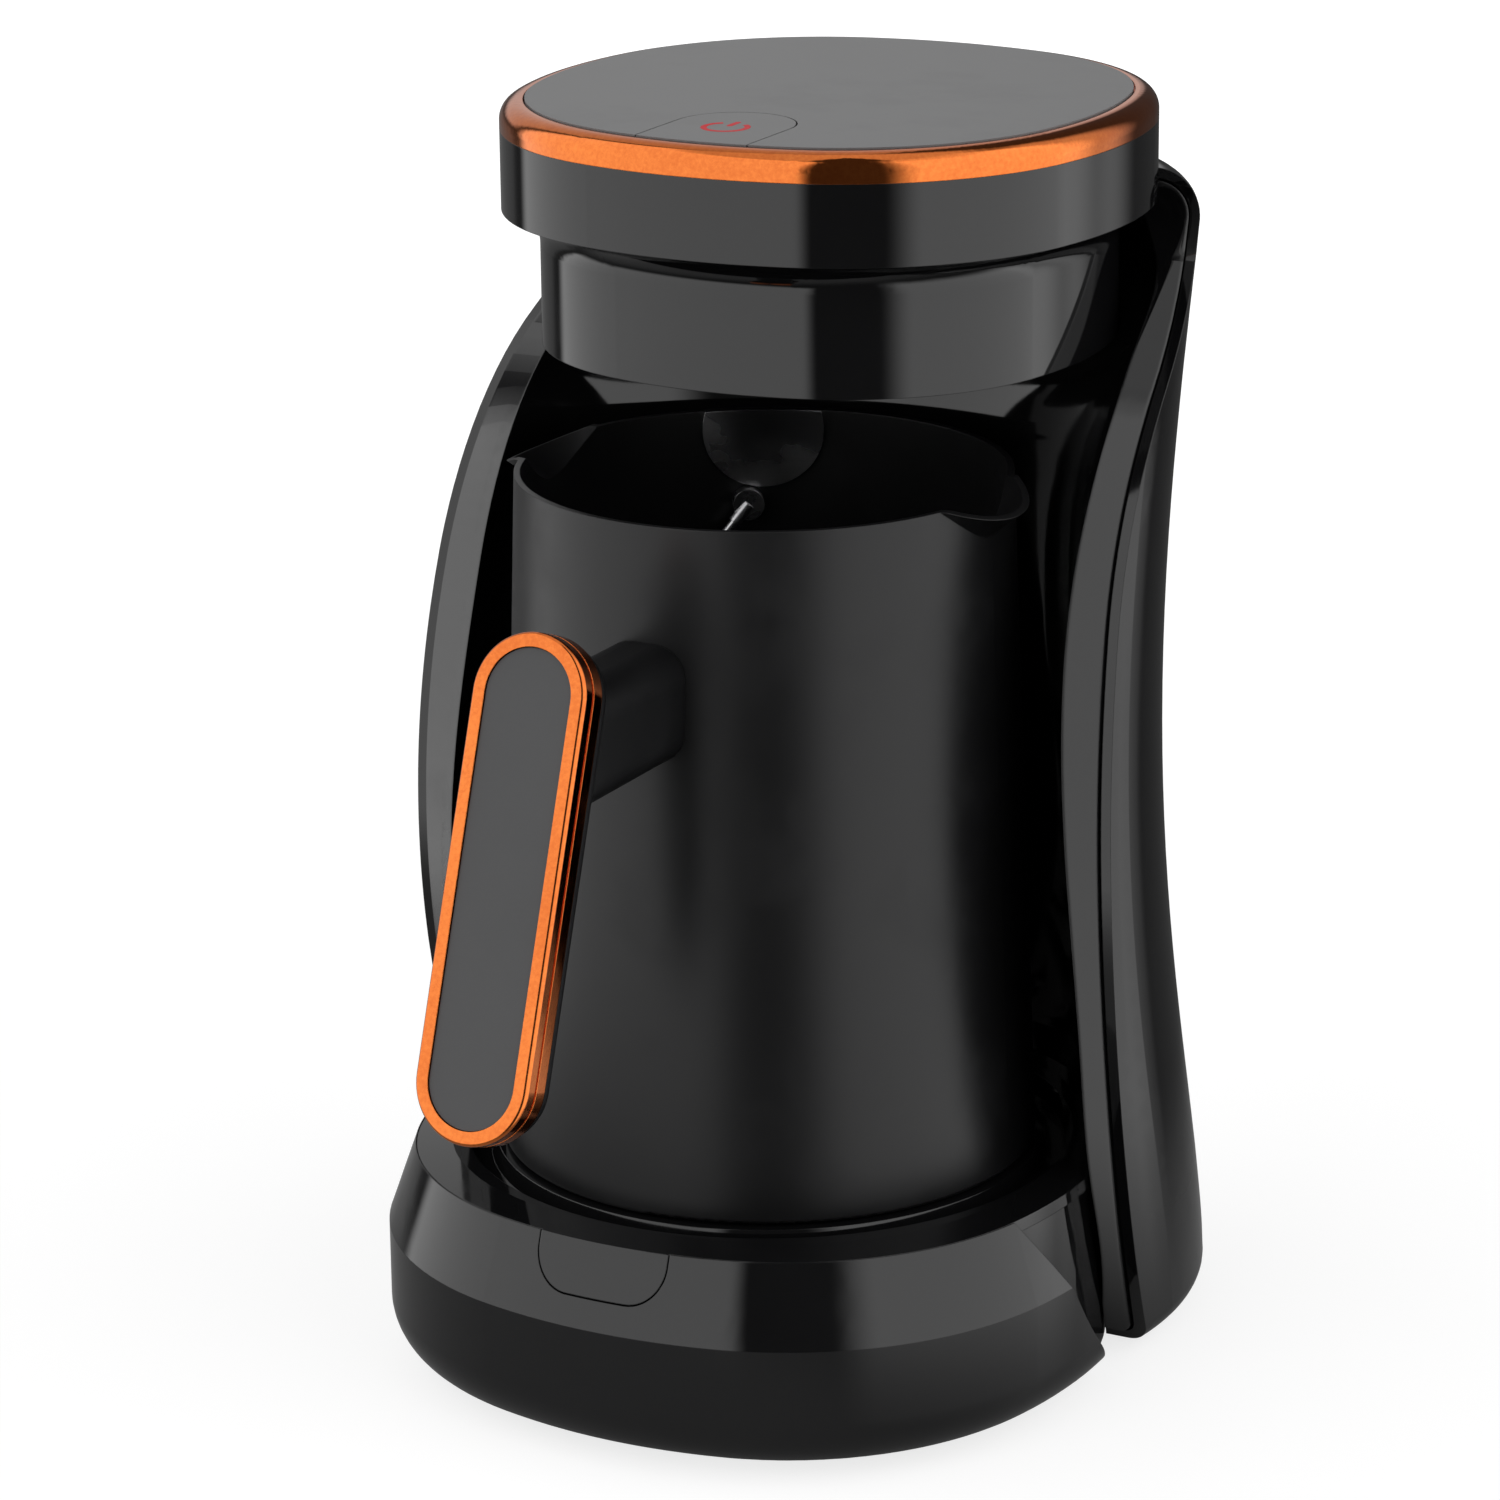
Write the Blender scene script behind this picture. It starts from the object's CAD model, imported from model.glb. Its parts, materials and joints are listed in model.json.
"""Looks of a lift-out coffee pot station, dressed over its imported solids.

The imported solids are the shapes. This script gives every one of them its finish, prints the
power sign on the button, and sets the floor, the light panels and the camera. Lengths named
in millimetres are turned into metres where they meet Blender.
"""

from __future__ import annotations

import json
import logging
import math
from collections.abc import Callable, Iterable, Sequence
from dataclasses import dataclass, field, replace
from enum import Enum

import bmesh
import bpy
from mathutils import Matrix, Vector


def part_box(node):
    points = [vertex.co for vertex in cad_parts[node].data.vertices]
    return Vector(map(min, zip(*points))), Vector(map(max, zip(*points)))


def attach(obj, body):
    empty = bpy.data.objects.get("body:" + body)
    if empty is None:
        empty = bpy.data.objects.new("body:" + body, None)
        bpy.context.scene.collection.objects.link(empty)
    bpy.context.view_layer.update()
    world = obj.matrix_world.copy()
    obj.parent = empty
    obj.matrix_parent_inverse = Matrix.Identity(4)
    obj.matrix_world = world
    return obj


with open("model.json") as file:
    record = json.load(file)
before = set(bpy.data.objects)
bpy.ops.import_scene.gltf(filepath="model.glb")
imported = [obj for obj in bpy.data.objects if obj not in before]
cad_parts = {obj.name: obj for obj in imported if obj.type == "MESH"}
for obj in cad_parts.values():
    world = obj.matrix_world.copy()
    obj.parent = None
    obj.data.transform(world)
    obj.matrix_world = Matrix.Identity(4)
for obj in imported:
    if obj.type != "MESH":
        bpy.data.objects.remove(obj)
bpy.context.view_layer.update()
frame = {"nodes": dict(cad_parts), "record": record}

log = logging.getLogger("station")

MM = 0.001
POT_AXIS_Y = sum(corner.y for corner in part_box("base_coupler")) / 2  # the pot's axis, metres
Colour = tuple[float, float, float]
Socket = bpy.types.NodeSocket

# detail and roughness of each noise
GRAIN_NOISE = (3.0, 0.6)
WAVE_NOISE = (1.0, 0.4)
SMEAR_NOISE = (4.0, 0.62)
STREAK_NOISE = (5.0, 0.65)
CLOUD_NOISE = (3.0, 0.5)

# surface of moulded and coated pieces
BEVEL_SAMPLES = 6
EDGE_TURN = (0.985, 0.80)  # cosine of the softened normal's turn, from no edge to a full edge
SMEAR_RANGE = (0.42, 0.72)  # noise from no mark to a full mark
TONE_RANGE = (0.3, 0.7)  # noise from the deep colour to the pale one
MARKS_SHARE = 0.8  # how much a full mark counts in the roughness

# turned and drawn metal, circuit board
TURNED_SCALE = 900.0  # streaks per metre in every direction
STREAK_SHARE = 0.6  # how much the streaks count in the tone
TRACE_CELLS = 260.0  # cells per metre
TRACE_JITTER = 0.55
TRACE_EDGE = (0.05, 0.09)  # distance to a cell's border from path to bare board

# crowned strips
FORWARD = (0.45, 0.75)  # how far a face looks forward, from not at all to fully
STRIP_SIDE = (56.0 * MM, 58.0 * MM)  # distance from the middle plane from which a face is a strip


# ------------------------------------------------------------------ node tools
class Graph:
    """A shader node tree that is filled with few words."""

    def __init__(self, tree: bpy.types.NodeTree) -> None:
        """Wraps a tree.

        Args:
            tree: The node tree of a material, a world or a node group.
        """
        self.tree = tree

    def add(self, kind: str, values: dict | None = None, **props: object) -> bpy.types.Node:
        """Adds a node.

        Args:
            kind: The node's type name.
            values: Input sockets by name or number, each a constant or an output to link.
            props: Properties of the node itself.

        Returns:
            The new node.
        """
        node = self.tree.nodes.new(kind)
        for name, value in props.items():
            setattr(node, name, value)
        for name, value in (values or {}).items():
            if isinstance(value, bpy.types.NodeSocket):
                self.tree.links.new(value, node.inputs[name])
            else:
                node.inputs[name].default_value = value
        return node

    def math(self, operation: str, first: object, second: object = 0.0, clamp: bool = False) -> Socket:
        """Adds a Math node.

        Args:
            operation: The operation's name.
            first: First operand, a constant or an output.
            second: Second operand, a constant or an output.
            clamp: Whether the result stays between 0 and 1.

        Returns:
            The node's result.
        """
        return self.add("ShaderNodeMath", {0: first, 1: second}, operation=operation, use_clamp=clamp).outputs[0]

    def spread(
        self, value: object, low: float, high: float, to_low: float = 0.0, to_high: float = 1.0
    ) -> Socket:
        """Adds a smooth Map Range node.

        Args:
            value: The value to map.
            low: Where the range starts.
            high: Where the range ends.
            to_low: What low becomes.
            to_high: What high becomes.

        Returns:
            The mapped value.
        """
        values = {"Value": value, 1: low, 2: high, 3: to_low, 4: to_high}
        return self.add("ShaderNodeMapRange", values, interpolation_type="SMOOTHSTEP").outputs[0]

    def blend(self, mask: object, first: Colour, second: Colour) -> Socket:
        """Adds a colour mix.

        Args:
            mask: 0 for the first colour and 1 for the second.
            first: A colour.
            second: A colour.

        Returns:
            The mixed colour.
        """
        mix = self.add("ShaderNodeMix", {0: mask}, data_type="RGBA")
        mix.inputs[6].default_value = (*first, 1.0)
        mix.inputs[7].default_value = (*second, 1.0)
        return mix.outputs[2]

    def noise(self, place: object, scale: object, detail: float, roughness: float) -> Socket:
        """Adds a noise texture.

        Args:
            place: Where the texture is read.
            scale: Cells per metre.
            detail: Octaves.
            roughness: How much the finer octaves count.

        Returns:
            The noise value.
        """
        values = {"Vector": place, "Scale": scale, "Detail": detail, "Roughness": roughness}
        return self.add("ShaderNodeTexNoise", values).outputs[0]

    def bumped(self, height: Socket, normal: Socket) -> Socket:
        """Adds a bump of real height.

        Args:
            height: The height, metres.
            normal: The normal below the bump.

        Returns:
            The new normal.
        """
        values = {"Strength": 1.0, "Distance": 1.0, "Height": height, "Normal": normal}
        return self.add("ShaderNodeBump", values).outputs[0]


def new_group(
    name: str, inputs: Sequence[tuple[str, float]], outputs: Sequence[tuple[str, str]]
) -> tuple[Graph, dict[str, Socket], bpy.types.Node]:
    """Starts a shader node group.

    Args:
        name: The group's name.
        inputs: Name and default of each float input.
        outputs: Name and socket type of each output.

    Returns:
        The group's graph, its inputs by name and its output node.
    """
    tree = bpy.data.node_groups.new(name, "ShaderNodeTree")
    for label, default in inputs:
        socket = tree.interface.new_socket(label, in_out="INPUT", socket_type="NodeSocketFloat")
        socket.default_value = default
    for label, kind in outputs:
        tree.interface.new_socket(label, in_out="OUTPUT", socket_type=kind)
    graph = Graph(tree)
    entry = graph.add("NodeGroupInput")
    return graph, {label: entry.outputs[label] for label, _ in inputs}, graph.add("NodeGroupOutput")


def moulded_group() -> bpy.types.NodeTree:
    """Builds the surface of a moulded or coated piece.

    It has a grain, slow waves, softened edges and handling marks.

    Returns:
        A group that puts out Normal, Tone, Marks and Edge.
    """
    inputs = (
        ("Grain per metre", 3000.0), ("Grain height", 1e-6), ("Waves per metre", 60.0), ("Wave height", 1e-5),
        ("Edge radius", 2e-4), ("Marks per metre", 25.0),
    )
    outputs = (
        ("Normal", "NodeSocketVector"), ("Tone", "NodeSocketFloat"), ("Marks", "NodeSocketFloat"),
        ("Edge", "NodeSocketFloat"),
    )
    graph, given, out = new_group("moulded_surface", inputs, outputs)
    place = graph.add("ShaderNodeTexCoord").outputs["Object"]
    grain = graph.noise(place, given["Grain per metre"], *GRAIN_NOISE)
    waves = graph.noise(place, given["Waves per metre"], *WAVE_NOISE)
    fine = graph.math("MULTIPLY", grain, given["Grain height"])
    height = graph.math("ADD", fine, graph.math("MULTIPLY", waves, given["Wave height"]))
    soft = graph.add("ShaderNodeBevel", {"Radius": given["Edge radius"]}, samples=BEVEL_SAMPLES).outputs[0]
    bump = graph.bumped(height, soft)
    plain = graph.add("ShaderNodeNewGeometry").outputs["Normal"]
    turn = graph.add("ShaderNodeVectorMath", {0: soft, 1: plain}, operation="DOT_PRODUCT").outputs["Value"]
    edge = graph.spread(turn, *EDGE_TURN)
    smear = graph.noise(place, given["Marks per metre"], *SMEAR_NOISE)
    marks = graph.spread(smear, *SMEAR_RANGE)
    mixed = graph.math("ADD", graph.math("MULTIPLY", grain, 0.5), graph.math("MULTIPLY", smear, 0.5))
    tone = graph.spread(mixed, *TONE_RANGE)
    for name, socket in (("Normal", bump), ("Tone", tone), ("Marks", marks), ("Edge", edge)):
        graph.tree.links.new(socket, out.inputs[name])
    return graph.tree


def drawn_group() -> bpy.types.NodeTree:
    """Builds the fine parallel scratches of drawn or turned metal.

    Returns:
        A group that puts out Height and Streak.
    """
    inputs = (("Along X", 40.0), ("Along Y", 40.0), ("Along Z", 4000.0), ("Depth", 2e-6))
    outputs = (("Height", "NodeSocketFloat"), ("Streak", "NodeSocketFloat"))
    graph, given, out = new_group("drawn_metal", inputs, outputs)
    place = graph.add("ShaderNodeTexCoord").outputs["Object"]
    along = {0: given["Along X"], 1: given["Along Y"], 2: given["Along Z"]}
    stretch = graph.add("ShaderNodeCombineXYZ", along).outputs[0]
    scaled = graph.add("ShaderNodeVectorMath", {0: place, 1: stretch}, operation="MULTIPLY").outputs[0]
    streak = graph.noise(scaled, 1.0, *STREAK_NOISE)
    height = graph.math("MULTIPLY", streak, given["Depth"])
    graph.tree.links.new(height, out.inputs["Height"])
    graph.tree.links.new(streak, out.inputs["Streak"])
    return graph.tree


# ------------------------------------------------------------------ finishes
class Pattern(Enum):
    """What a finish has besides its moulded surface."""

    PLAIN = "plain"
    DRAWN = "drawn"
    TURNED = "turned"
    BOARD = "board"


@dataclass(frozen=True)
class Finish:
    """One finish, and how its material is made.

    Sizes are in millimetres and colours are scene-linear. A crown turns the shading of faces that
    look forward at the sides of the machine, as on a rounded strip.
    """

    name: str
    deep: Colour
    pale: Colour
    rough: tuple[float, float]
    specular: float = 0.5
    metallic: float = 0.0
    coat: float = 0.0
    coat_rough: float = 0.05
    grain: float = 0.3
    grain_height: float = 0.0005
    wave: float = 18.0
    wave_height: float = 0.002
    edge: float = 0.2
    wear: float = 0.15
    marks: float = 30.0
    pattern: Pattern = Pattern.PLAIN
    see_through: float = 0.0
    crown: float = 0.0

    def material(self, moulded: bpy.types.NodeTree, drawn: bpy.types.NodeTree) -> bpy.types.Material:
        """Makes the material.

        Args:
            moulded: The group of moulded_group.
            drawn: The group of drawn_group.

        Returns:
            A material with varying colour and roughness and a bump.
        """
        made = bpy.data.materials.new(self.name)
        made.use_nodes = True
        made.node_tree.nodes.clear()
        graph = Graph(made.node_tree)
        skin = graph.add("ShaderNodeGroup", node_tree=moulded)
        for socket, value in (
            ("Grain per metre", 1 / (self.grain * MM)),
            ("Grain height", self.grain_height * MM),
            ("Waves per metre", 1 / (self.wave * MM)),
            ("Wave height", self.wave_height * MM),
            ("Edge radius", self.edge * MM),
            ("Marks per metre", 1 / (self.marks * MM)),
        ):
            skin.inputs[socket].default_value = value
        tone = skin.outputs["Tone"]
        normal = skin.outputs["Normal"]
        if self.pattern in (Pattern.DRAWN, Pattern.TURNED):
            metal = graph.add("ShaderNodeGroup", node_tree=drawn)
            if self.pattern is Pattern.TURNED:
                for direction in ("Along X", "Along Y", "Along Z"):
                    metal.inputs[direction].default_value = TURNED_SCALE
            streaks = graph.math("MULTIPLY", metal.outputs["Streak"], STREAK_SHARE)
            tone = graph.math("ADD", graph.math("MULTIPLY", tone, 1.0 - STREAK_SHARE), streaks, clamp=True)
            normal = graph.bumped(metal.outputs["Height"], normal)
        if self.crown:
            normal = self.crowned(graph, normal)
        if self.pattern is Pattern.BOARD:
            tone = self.traces(graph)
        worn = graph.math("MULTIPLY", skin.outputs["Edge"], self.wear)
        mask = graph.math("ADD", graph.math("MULTIPLY", tone, 1.0 - self.wear), worn, clamp=True)
        colour = graph.blend(mask, self.deep, self.pale)
        smeared = graph.math("MULTIPLY", skin.outputs["Marks"], MARKS_SHARE)
        rough = graph.spread(graph.math("ADD", smeared, worn, clamp=True), 0.0, 1.0, *self.rough)
        shader = graph.add(
            "ShaderNodeBsdfPrincipled",
            {
                "Base Color": colour, "Roughness": rough, "Normal": normal, "Metallic": self.metallic,
                "Specular IOR Level": self.specular, "Coat Weight": self.coat,
                "Coat Roughness": self.coat_rough, "Transmission Weight": self.see_through,
            },
        )
        graph.add("ShaderNodeOutputMaterial", {"Surface": shader.outputs[0]})
        made.diffuse_color = (*self.pale, 1.0)
        return made

    def crowned(self, graph: Graph, normal: Socket) -> Socket:
        """Turns the normals of the forward faces at the sides outwards, and levels them.

        Args:
            graph: The material's graph.
            normal: The surface's normal.

        Returns:
            The turned normal.
        """
        place = graph.add("ShaderNodeTexCoord").outputs["Object"]
        side = graph.add("ShaderNodeSeparateXYZ", {0: place}).outputs["X"]
        faces = graph.add("ShaderNodeNewGeometry").outputs["Normal"]
        plain = graph.add("ShaderNodeSeparateXYZ", {0: faces}).outputs
        parts = graph.add("ShaderNodeSeparateXYZ", {0: normal}).outputs
        forward = graph.spread(graph.math("MULTIPLY", plain["Y"], -1.0), *FORWARD)
        outer = graph.math("MULTIPLY", forward, graph.spread(graph.math("ABSOLUTE", side), *STRIP_SIDE))
        across = graph.math("MULTIPLY", graph.math("SIGN", side), graph.math("MULTIPLY", outer, self.crown))
        level = graph.math("MAXIMUM", parts["Z"], graph.math("SUBTRACT", outer, 1.0))
        values = {0: graph.math("ADD", parts["X"], across), 1: parts["Y"], 2: level}
        turned = graph.add("ShaderNodeCombineXYZ", values).outputs[0]
        return graph.add("ShaderNodeVectorMath", {0: turned}, operation="NORMALIZE").outputs[0]

    def traces(self, graph: Graph) -> Socket:
        """Draws the copper paths under a circuit board's lacquer.

        Args:
            graph: The material's graph.

        Returns:
            A mask of the paths.
        """
        place = graph.add("ShaderNodeTexCoord").outputs["Object"]
        values = {"Vector": place, "Scale": TRACE_CELLS, "Randomness": TRACE_JITTER}
        cells = graph.add("ShaderNodeTexVoronoi", values, feature="DISTANCE_TO_EDGE").outputs["Distance"]
        return graph.spread(cells, *TRACE_EDGE, 1.0, 0.0)


GLOSS = Finish(
    "gloss_black_moulding", (0.0035, 0.0035, 0.0038), (0.0065, 0.0065, 0.007), (0.045, 0.10), specular=0.55,
    grain=0.6, grain_height=0.00006, wave=22.0, wave_height=0.0022, edge=0.25, wear=0.2, marks=26.0,
)
FINISHES = {
    "black_gloss": GLOSS,
    "black_gloss_round": replace(GLOSS, name="gloss_black_round_edges", edge=0.9, wear=0.0, crown=0.9),
    "black_satin": Finish(
        "satin_black_moulding", (0.004, 0.004, 0.0044), (0.009, 0.009, 0.0096), (0.34, 0.46), specular=0.12,
        grain=0.22, grain_height=0.002, wave=20.0, wave_height=0.002, edge=0.3, wear=0.2,
    ),
    "lid_grey": Finish(
        "satin_grey_lid", (0.150, 0.150, 0.152), (0.166, 0.166, 0.168), (0.40, 0.45), specular=0.4,
        grain=0.16, grain_height=0.0012, wave=30.0, wave_height=0.002, edge=0.15, wear=0.3,
    ),
    "copper_trim": Finish(
        "copper_metallised", (0.60, 0.140, 0.032), (0.80, 0.225, 0.052), (0.06, 0.14), metallic=1.0,
        grain=0.8, grain_height=0.0001, wave=12.0, wave_height=0.003, edge=0.25, wear=0.2,
    ),
    "pot_black": Finish(
        "matte_black_coating", (0.005, 0.005, 0.0054), (0.009, 0.009, 0.0096), (0.35, 0.44), specular=0.36,
        grain=0.12, grain_height=0.0022, wave=16.0, wave_height=0.003, edge=0.3, wear=0.35, marks=22.0,
    ),
    "grip_grey": Finish(
        "matte_grey_inlay", (0.072, 0.072, 0.074), (0.088, 0.088, 0.090), (0.50, 0.60), specular=0.35,
        grain=0.14, grain_height=0.0015, wave=24.0, wave_height=0.001, edge=0.15, wear=0.2,
    ),
    "foot_rubber": Finish(
        "foot_rubber", (0.020, 0.020, 0.020), (0.040, 0.040, 0.040), (0.72, 0.9), specular=0.3,
        grain=0.35, grain_height=0.006, wave=8.0, wave_height=0.004, edge=0.4, wear=0.3,
    ),
    "steel": Finish(
        "bright_steel", (0.42, 0.42, 0.43), (0.66, 0.66, 0.67), (0.20, 0.34), metallic=1.0,
        grain=0.3, grain_height=0.0004, wave=6.0, wave_height=0.001, edge=0.15, wear=0.3, pattern=Pattern.DRAWN,
    ),
    "heat_aluminium": Finish(
        "cast_aluminium", (0.50, 0.50, 0.51), (0.74, 0.74, 0.75), (0.34, 0.52), metallic=1.0,
        grain=0.5, grain_height=0.008, wave=7.0, wave_height=0.01, edge=0.3, wear=0.3, pattern=Pattern.TURNED,
    ),
    "contact_brass": Finish(
        "plated_brass", (0.60, 0.42, 0.16), (0.86, 0.66, 0.30), (0.18, 0.32), metallic=1.0,
        grain=0.3, grain_height=0.0005, wave=5.0, wave_height=0.001, edge=0.1, wear=0.3, pattern=Pattern.DRAWN,
    ),
    "board_green": Finish(
        "circuit_board", (0.010, 0.085, 0.035), (0.06, 0.21, 0.09), (0.28, 0.42), coat=0.3,
        grain=0.25, grain_height=0.001, wave=9.0, wave_height=0.002, edge=0.1, pattern=Pattern.BOARD,
    ),
    "part_black": Finish(
        "component_black", (0.012, 0.012, 0.012), (0.032, 0.032, 0.033), (0.42, 0.6),
        grain=0.2, grain_height=0.003, wave=8.0, wave_height=0.002, edge=0.15,
    ),
    "led_red": Finish(
        "clear_red_lens", (0.42, 0.015, 0.012), (0.60, 0.04, 0.03), (0.08, 0.2), coat=0.4,
        grain=0.4, grain_height=0.0003, wave=4.0, wave_height=0.001, edge=0.2, see_through=0.5,
    ),
    "sign_red": Finish(
        "printed_red", (0.50, 0.008, 0.016), (0.60, 0.014, 0.024), (0.42, 0.55), specular=0.15,
        grain=0.10, grain_height=0.001, wave=6.0, wave_height=0.001, edge=0.05, wear=0.1,
    ),
}


class Wardrobe:
    """Makes each finish once and hands it out."""

    def __init__(self) -> None:
        """Builds the shared node groups."""
        self.moulded = moulded_group()
        self.drawn = drawn_group()
        self.made: dict[str, bpy.types.Material] = {}

    def get(self, slot: str) -> bpy.types.Material:
        """Gives a finish's material.

        Args:
            slot: The finish's key in FINISHES.

        Returns:
            The material, made on first use.
        """
        if slot not in self.made:
            self.made[slot] = FINISHES[slot].material(self.moulded, self.drawn)
        return self.made[slot]


# ------------------------------------------------------------------ mesh tools
def mesh_piece(name: str, build: Callable[[bmesh.types.BMesh], None]) -> bpy.types.Object:
    """Makes an object from a bmesh.

    Args:
        name: The piece's name.
        build: Fills the bmesh, in metres in the row frame.

    Returns:
        The linked object.
    """
    bm = bmesh.new()
    build(bm)
    bmesh.ops.recalc_face_normals(bm, faces=bm.faces)
    mesh = bpy.data.meshes.new(name)
    bm.to_mesh(mesh)
    bm.free()
    piece = bpy.data.objects.new(name, mesh)
    bpy.context.scene.collection.objects.link(piece)
    return piece


def band(bm: bmesh.types.BMesh, inner: Sequence[Vector], outer: Sequence[Vector], rise: float) -> None:
    """Adds a flat closed band between two rows of points, with a thickness.

    Args:
        bm: The bmesh.
        inner: Points of one side.
        outer: Points of the other side, as many.
        rise: Thickness upwards.
    """
    lift = Vector((0, 0, rise))
    rows = [[bm.verts.new(p) for p in inner], [bm.verts.new(p) for p in outer],
            [bm.verts.new(p + lift) for p in outer], [bm.verts.new(p + lift) for p in inner]]
    count = len(inner)
    for k in range(count - 1):
        for a in range(4):
            b = (a + 1) % 4
            bm.faces.new((rows[a][k], rows[a][k + 1], rows[b][k + 1], rows[b][k]))
    for k in (0, count - 1):
        bm.faces.new([row[k] for row in rows])


# ------------------------------------------------------------------ sub-assemblies
@dataclass
class SubAssembly:
    """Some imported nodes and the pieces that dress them."""

    wardrobe: Wardrobe
    body: str = "housing"
    nodes: tuple[str, ...] = ()
    finishes: dict[str, str] = field(default_factory=dict)
    slots: dict[str, str] = field(init=False)

    def __post_init__(self) -> None:
        """Reads each node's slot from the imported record."""
        self.slots = {part["node"]: part["material_slot"] for part in frame["record"]["subparts"]}

    def dress(self) -> None:
        """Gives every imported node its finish."""
        for name in self.nodes:
            piece = frame["nodes"][name]
            finish = self.wardrobe.get(self.finishes.get(name, self.slots[name]))
            piece.data.materials.clear()
            piece.data.materials.append(finish)
            log.info("%s: %s", name, finish.name)

    def place(self, piece: bpy.types.Object, slot: str | None, finish: str) -> bpy.types.Object:
        """Finishes a new piece and lets it ride.

        Args:
            piece: The new piece, in place.
            slot: The record's material slot, or None.
            finish: Key in FINISHES.

        Returns:
            The same piece.
        """
        piece.data.materials.append(self.wardrobe.get(finish))
        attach(piece, self.body)
        log.info("%s on %s", piece.name, self.body)
        return piece

    def build(self) -> None:
        """Adds the sub-assembly's own pieces; the plain case has none."""


@dataclass
class BaseUnit(SubAssembly):
    """Round base with its seat ring, dish, connector, bottom plate and feet."""

    nodes: tuple[str, ...] = (
        "base_shell", "seat_ring", "seat_dish", "base_plate", "base_screws", "rubber_feet", "base_coupler",
        "contact_pins",
    )


@dataclass
class Column(SubAssembly):
    """Curved rear column with its bay, board and cord outlet."""

    nodes: tuple[str, ...] = ("rear_shell", "bay_liner", "power_board", "power_screws", "relay", "cord_outlet")
    finishes: dict[str, str] = field(default_factory=lambda: {"bay_liner": "black_gloss_round"})


@dataclass
class Head(SubAssembly):
    """Head with its cover, lid, trim ring and control board."""

    nodes: tuple[str, ...] = (
        "head_shell", "head_cover", "trim_ring", "lid_plate", "control_board", "board_screws", "push_switch",
        "buzzer", "indicator_led",
    )


@dataclass
class Button(SubAssembly):
    """Power button with its printed sign."""

    body: str = "button"
    nodes: tuple[str, ...] = ("power_button",)
    sign_rad: float = 3.9 * MM
    sign_line: float = 1.1 * MM
    sign_gap: float = 34.0
    sign_bar: tuple[float, float] = (0.9 * MM, 5.3 * MM)
    sign_y: float = -13.2 * MM
    ink: float = 0.03 * MM
    ring_steps: int = 72
    end_steps: int = 8

    def build(self) -> None:
        """Prints the power sign: an open ring and a bar."""
        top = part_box("power_button")[1].z
        centre = Vector((0.0, POT_AXIS_Y + self.sign_y, top - self.ink / 3))
        half = self.sign_line / 2

        def ring(bm: bmesh.types.BMesh) -> None:
            """Adds the open ring.

            Args:
                bm: The bmesh.
            """
            open_at, sweep = 90 + self.sign_gap, 360 - 2 * self.sign_gap
            angles = [math.radians(open_at + sweep * k / self.ring_steps) for k in range(self.ring_steps + 1)]
            spokes = [Vector((math.cos(a), math.sin(a), 0)) for a in angles]
            inner, outer = ([centre + spoke * (self.sign_rad + side) for spoke in spokes] for side in (-half, half))
            band(bm, inner, outer, self.ink)

        def bar(bm: bmesh.types.BMesh) -> None:
            """Adds the bar with rounded ends.

            Args:
                bm: The bmesh.
            """
            low, high = self.sign_bar
            turns = [math.radians(90 * k / self.end_steps) for k in range(self.end_steps + 1)]
            rows = [(half * math.sin(turn), low + half * (1 - math.cos(turn))) for turn in turns]
            rows += [(half * math.sin(turn), high - half * (1 - math.cos(turn))) for turn in reversed(turns)]
            left, right = ([centre + Vector((side * x, y, 0)) for x, y in rows[1:-1]] for side in (-1, 1))
            band(bm, left, right, self.ink)

        self.place(mesh_piece("power_sign_ring", ring), None, "sign_red")
        self.place(mesh_piece("power_sign_bar", bar), None, "sign_red")


@dataclass
class Pot(SubAssembly):
    """Lift-out pot with its foot, heater and overflow electrode."""

    body: str = "pot"
    nodes: tuple[str, ...] = (
        "pot_shell", "pot_base_cap", "pot_coupler", "heating_plate", "heating_element", "electrode_plate",
        "electrode_pin",
    )


@dataclass
class Handle(SubAssembly):
    """Paddle handle with its trim, inlay, core and bolt."""

    body: str = "pot"
    nodes: tuple[str, ...] = ("handle_core", "handle_trim", "handle_face", "handle_bolt")


# ------------------------------------------------------------------ studio
@dataclass(frozen=True)
class Panel:
    """A soft light panel far out in the surround, given by the directions that it covers.

    All but the brightness is in degrees. Azimuth 0 is in front of the object and 90 on its right.
    """

    azimuth: tuple[float, float]
    elevation: tuple[float, float]
    brightness: float
    soft: float = 5.0

    def strength(self, graph: Graph, azimuth: Socket, elevation: Socket) -> Socket:
        """Adds the nodes of the panel.

        Args:
            graph: The surround's graph.
            azimuth: A ray's azimuth, degrees.
            elevation: A ray's elevation, degrees.

        Returns:
            The panel's light along the ray.
        """
        light = self.brightness
        for value, (low, high) in ((azimuth, self.azimuth), (elevation, self.elevation)):
            rise = graph.spread(value, low - self.soft, low + self.soft)
            fall = graph.spread(value, high + self.soft, high - self.soft)
            light = graph.math("MULTIPLY", light, graph.math("MULTIPLY", rise, fall))
        return light


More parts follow.
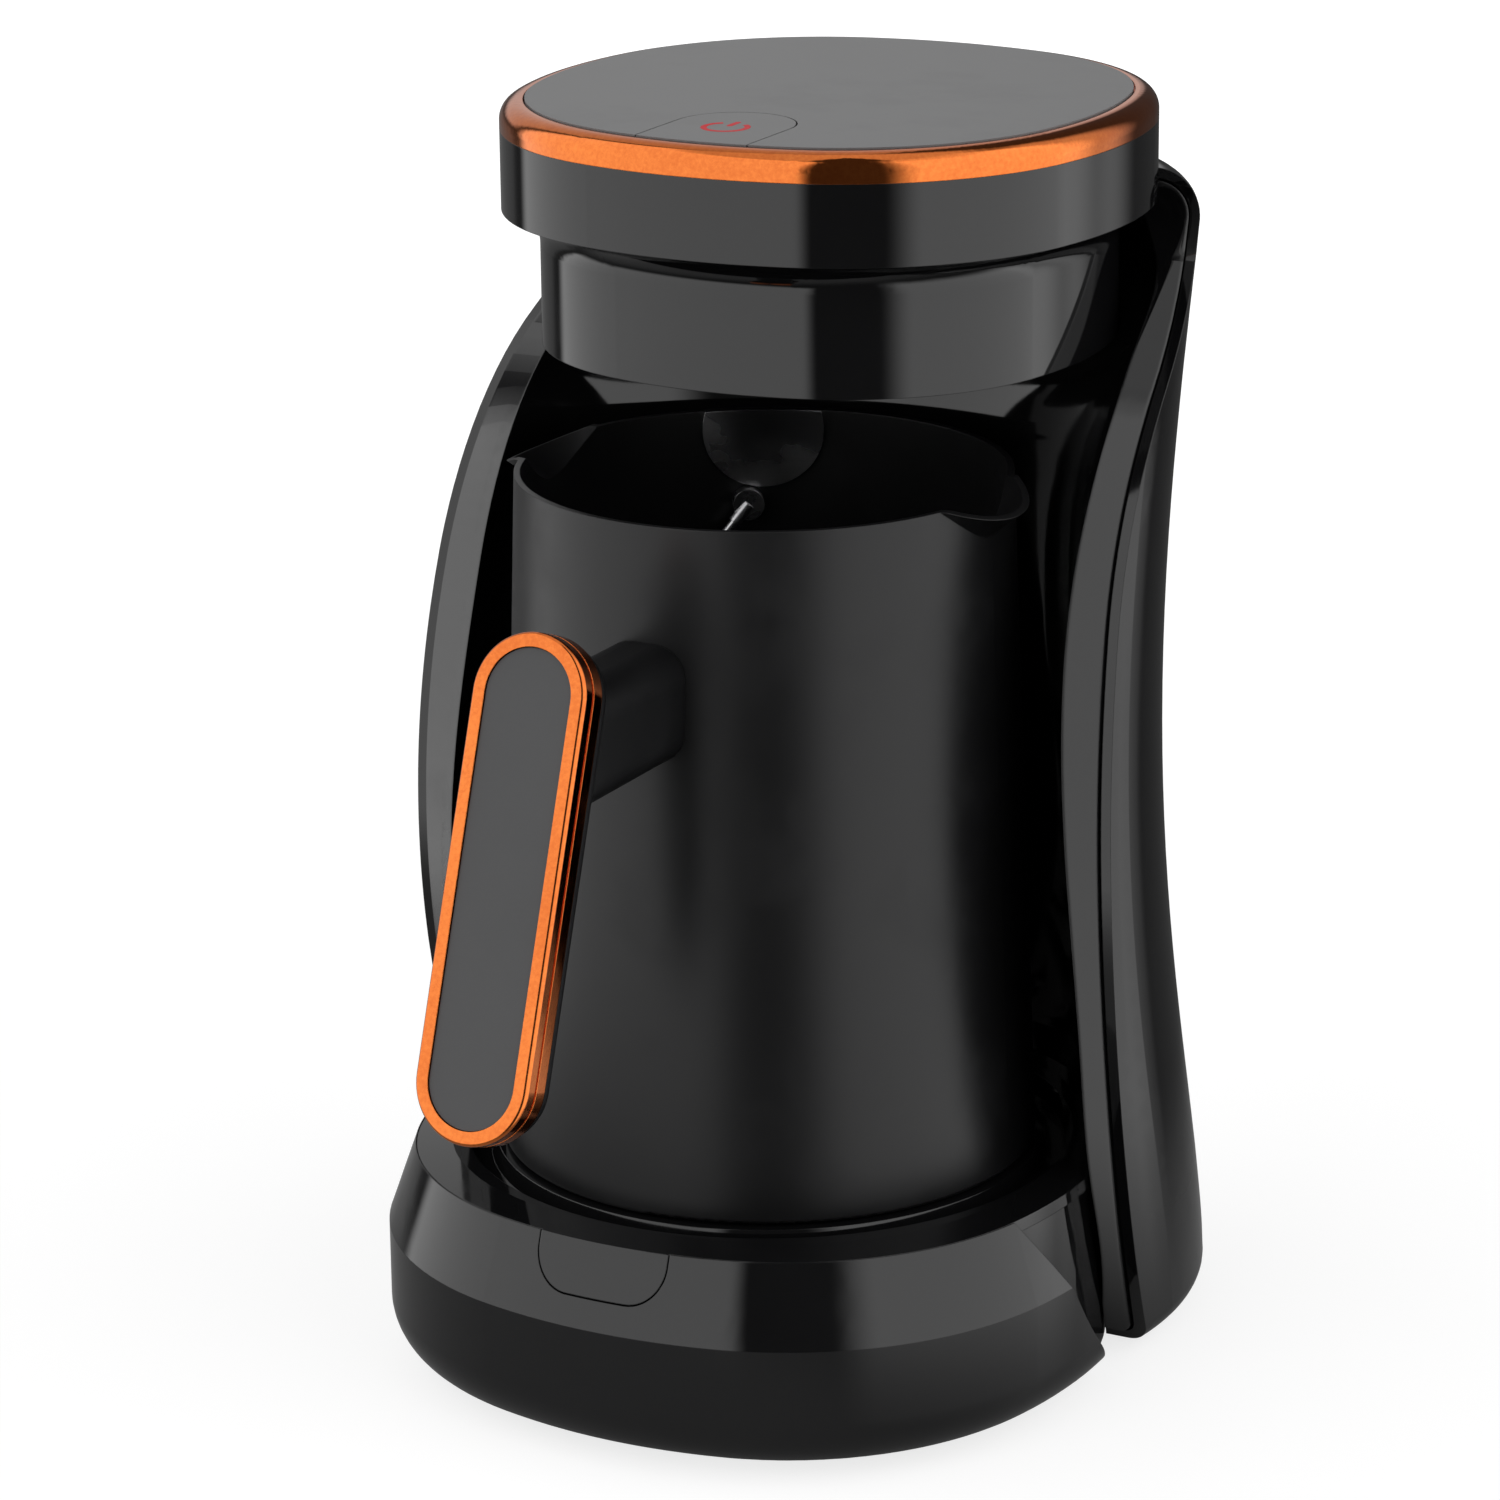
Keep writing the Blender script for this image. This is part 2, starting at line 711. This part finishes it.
@dataclass(frozen=True)
class Studio:
    """Pale floor, soft light panels all round, and a white backdrop.

    The floor's lift is the white that it has of its own to the camera, and it fades to full white
    over floor_fade. In gloss the lift is dimmed by floor_dim, and the floor clears over floor_near.
    Lengths are in metres.
    """

    floor_radius: float = 4.0
    floor_rings: tuple[float, ...] = (0.4, 1.2)
    floor_segments: int = 96
    floor_colour: Colour = (0.30, 0.30, 0.30)
    floor_rough: float = 0.85
    cloud_scale: float = 9.0
    cloud_shade: float = 0.985
    floor_lift: float = 0.78
    floor_fade: tuple[float, float] = (0.25, 1.6)
    floor_near: tuple[float, float] = (0.12, 0.26)
    near_centre: tuple[float, float, float] = (-0.06, -0.02, 0.0)
    floor_dim: float = 0.95
    surround: float = 0.06
    panels: tuple[Panel, ...] = (
        Panel((-102.0, 8.0), (-34.0, 62.0), 1.35, 4.0),
        Panel((50.0, 134.0), (-48.0, 62.0), 1.50, 9.0),
        Panel((130.0, 156.0), (-48.0, 55.0), 0.70, 9.0),
        Panel((-150.0, -112.0), (-34.0, 0.0), 0.10, 4.0),
        Panel((-160.0, -110.0), (6.0, 60.0), 0.55, 4.0),
        Panel((-400.0, -2.0), (62.0, 100.0), 0.80, 6.0),
        Panel((58.0, 400.0), (62.0, 100.0), 0.80, 6.0),
    )

    def floor(self) -> None:
        """Adds the floor, white to the camera, with the object's shadow on it."""

        def disc(bm: bmesh.types.BMesh) -> None:
            """Fills a round floor from rings of faces.

            Args:
                bm: The bmesh.
            """
            count = self.floor_segments
            turns = [math.tau * k / count for k in range(count)]
            rows = [[bm.verts.new((r * math.cos(turn), r * math.sin(turn), 0.0)) for turn in turns]
                    for r in (*self.floor_rings, self.floor_radius)]
            hub = bm.verts.new((0, 0, 0))
            for k in range(count):
                n = (k + 1) % count
                bm.faces.new((hub, rows[0][k], rows[0][n]))
                for a, b in zip(rows, rows[1:]):
                    bm.faces.new((a[k], b[k], b[n], a[n]))

        floor = mesh_piece("studio_floor", disc)
        paint = bpy.data.materials.new("pale_floor")
        paint.use_nodes = True
        paint.node_tree.nodes.clear()
        graph = Graph(paint.node_tree)
        place = graph.add("ShaderNodeTexCoord").outputs["Object"]
        cloud = graph.noise(place, self.cloud_scale, *CLOUD_NOISE)
        shade = tuple(c * self.cloud_shade for c in self.floor_colour)
        colour = graph.blend(cloud, shade, self.floor_colour)
        values = {"Base Color": colour, "Roughness": self.floor_rough, "Specular IOR Level": 0.0}
        matte = graph.add("ShaderNodeBsdfPrincipled", values)
        rays = graph.add("ShaderNodeLightPath").outputs
        gloss = rays["Is Glossy Ray"]
        seen = graph.math("MAXIMUM", graph.math("MAXIMUM", rays["Is Camera Ray"], gloss), rays["Is Transmission Ray"])
        away = graph.add("ShaderNodeVectorMath", {0: place}, operation="LENGTH").outputs["Value"]
        lift = graph.math("MULTIPLY", seen, graph.spread(away, *self.floor_fade, self.floor_lift, 1.0))
        kept = graph.math("SUBTRACT", 1.0, graph.math("MULTIPLY", gloss, self.floor_dim))
        lift = graph.math("MULTIPLY", lift, kept)
        glow = graph.add("ShaderNodeEmission", {"Color": (1, 1, 1, 1), "Strength": lift})
        both = graph.add("ShaderNodeAddShader", {0: matte.outputs[0], 1: glow.outputs[0]})
        # in gloss the floor away from the object is clear, so that the panels show below it too
        values = {0: place, 1: self.near_centre}
        aside = graph.add("ShaderNodeVectorMath", values, operation="DISTANCE").outputs["Value"]
        clear = graph.math("MULTIPLY", gloss, graph.spread(aside, *self.floor_near))
        through = graph.add("ShaderNodeBsdfTransparent")
        mixed = graph.add("ShaderNodeMixShader", {0: clear, 1: both.outputs[0], 2: through.outputs[0]})
        graph.add("ShaderNodeOutputMaterial", {"Surface": mixed.outputs[0]})
        floor.data.materials.append(paint)

    def surround_light(self) -> None:
        """Sets the panels and the white that the camera sees behind them."""
        world = bpy.data.worlds.new("surround")
        bpy.context.scene.world = world
        world.use_nodes = True
        world.node_tree.nodes.clear()
        graph = Graph(world.node_tree)
        ray = graph.add("ShaderNodeTexCoord").outputs["Generated"]
        parts = graph.add("ShaderNodeSeparateXYZ", {0: ray}).outputs
        azimuth = graph.math("DEGREES", graph.math("ARCTAN2", parts["X"], graph.math("MULTIPLY", parts["Y"], -1.0)))
        elevation = graph.math("DEGREES", graph.math("ARCSINE", parts["Z"]))
        light = self.surround
        for panel in self.panels:
            light = graph.math("ADD", light, panel.strength(graph, azimuth, elevation))
        rays = graph.add("ShaderNodeLightPath").outputs
        seen = graph.math("MAXIMUM", rays["Is Camera Ray"], rays["Is Transmission Ray"])
        strength = graph.math("ADD", graph.math("MULTIPLY", light, graph.math("SUBTRACT", 1.0, seen)), seen)
        back = graph.add("ShaderNodeBackground", {"Color": (1.0, 1.0, 1.0, 1.0), "Strength": strength})
        graph.add("ShaderNodeOutputWorld", {"Surface": back.outputs[0]})

    def build(self) -> None:
        """Adds everything of the studio."""
        self.floor()
        self.surround_light()


@dataclass(frozen=True)
class Viewpoint:
    """Where the photograph was taken from, in degrees and metres, and the camera's film in millimetres."""

    azimuth: float = 28.12
    pitch: float = 17.40
    roll: float = -0.61
    distance: float = 1.0
    aim_across: float = -3.09 * MM
    aim_height: float = 115.25 * MM
    focal_pixels: float = 5414.0
    frame_pixels: float = 1500.0
    film: float = 36.0
    clip: tuple[float, float] = (0.05, 20.0)

    def build(self) -> None:
        """Adds the camera and makes it the scene's."""
        a, p, roll = (math.radians(v) for v in (self.azimuth, self.pitch, self.roll))
        look = Vector((-math.sin(a) * math.cos(p), math.cos(a) * math.cos(p), -math.sin(p)))
        right = Vector((math.cos(a), math.sin(a), 0.0))
        up = right.cross(look)
        side = right * math.cos(roll) + up * math.sin(roll)
        top = up * math.cos(roll) - right * math.sin(roll)
        aim = right * self.aim_across + Vector((0, POT_AXIS_Y, self.aim_height))
        data = bpy.data.cameras.new("photo_camera")
        data.sensor_width = self.film
        data.lens = self.focal_pixels * self.film / self.frame_pixels
        data.clip_start, data.clip_end = self.clip
        camera = bpy.data.objects.new("photo_camera", data)
        axes = Matrix((side, top, -look)).transposed()
        camera.matrix_world = Matrix.Translation(aim - look * self.distance) @ axes.to_4x4()
        bpy.context.scene.collection.objects.link(camera)
        bpy.context.scene.camera = camera


def assemblies(wardrobe: Wardrobe) -> Iterable[SubAssembly]:
    """Lists the sub-assemblies in the order they are built.

    Args:
        wardrobe: Where finishes come from.

    Returns:
        The sub-assemblies.
    """
    return [BaseUnit(wardrobe), Column(wardrobe), Head(wardrobe), Button(wardrobe), Pot(wardrobe), Handle(wardrobe)]


def main() -> None:
    """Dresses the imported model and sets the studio."""
    logging.basicConfig(level=logging.INFO, format="%(name)s: %(message)s")
    bpy.context.scene.view_settings.view_transform = "Standard"
    Viewpoint().build()
    wardrobe = Wardrobe()
    for part in assemblies(wardrobe):
        part.dress()
        part.build()
    Studio().build()


if __name__ == "__main__":
    main()
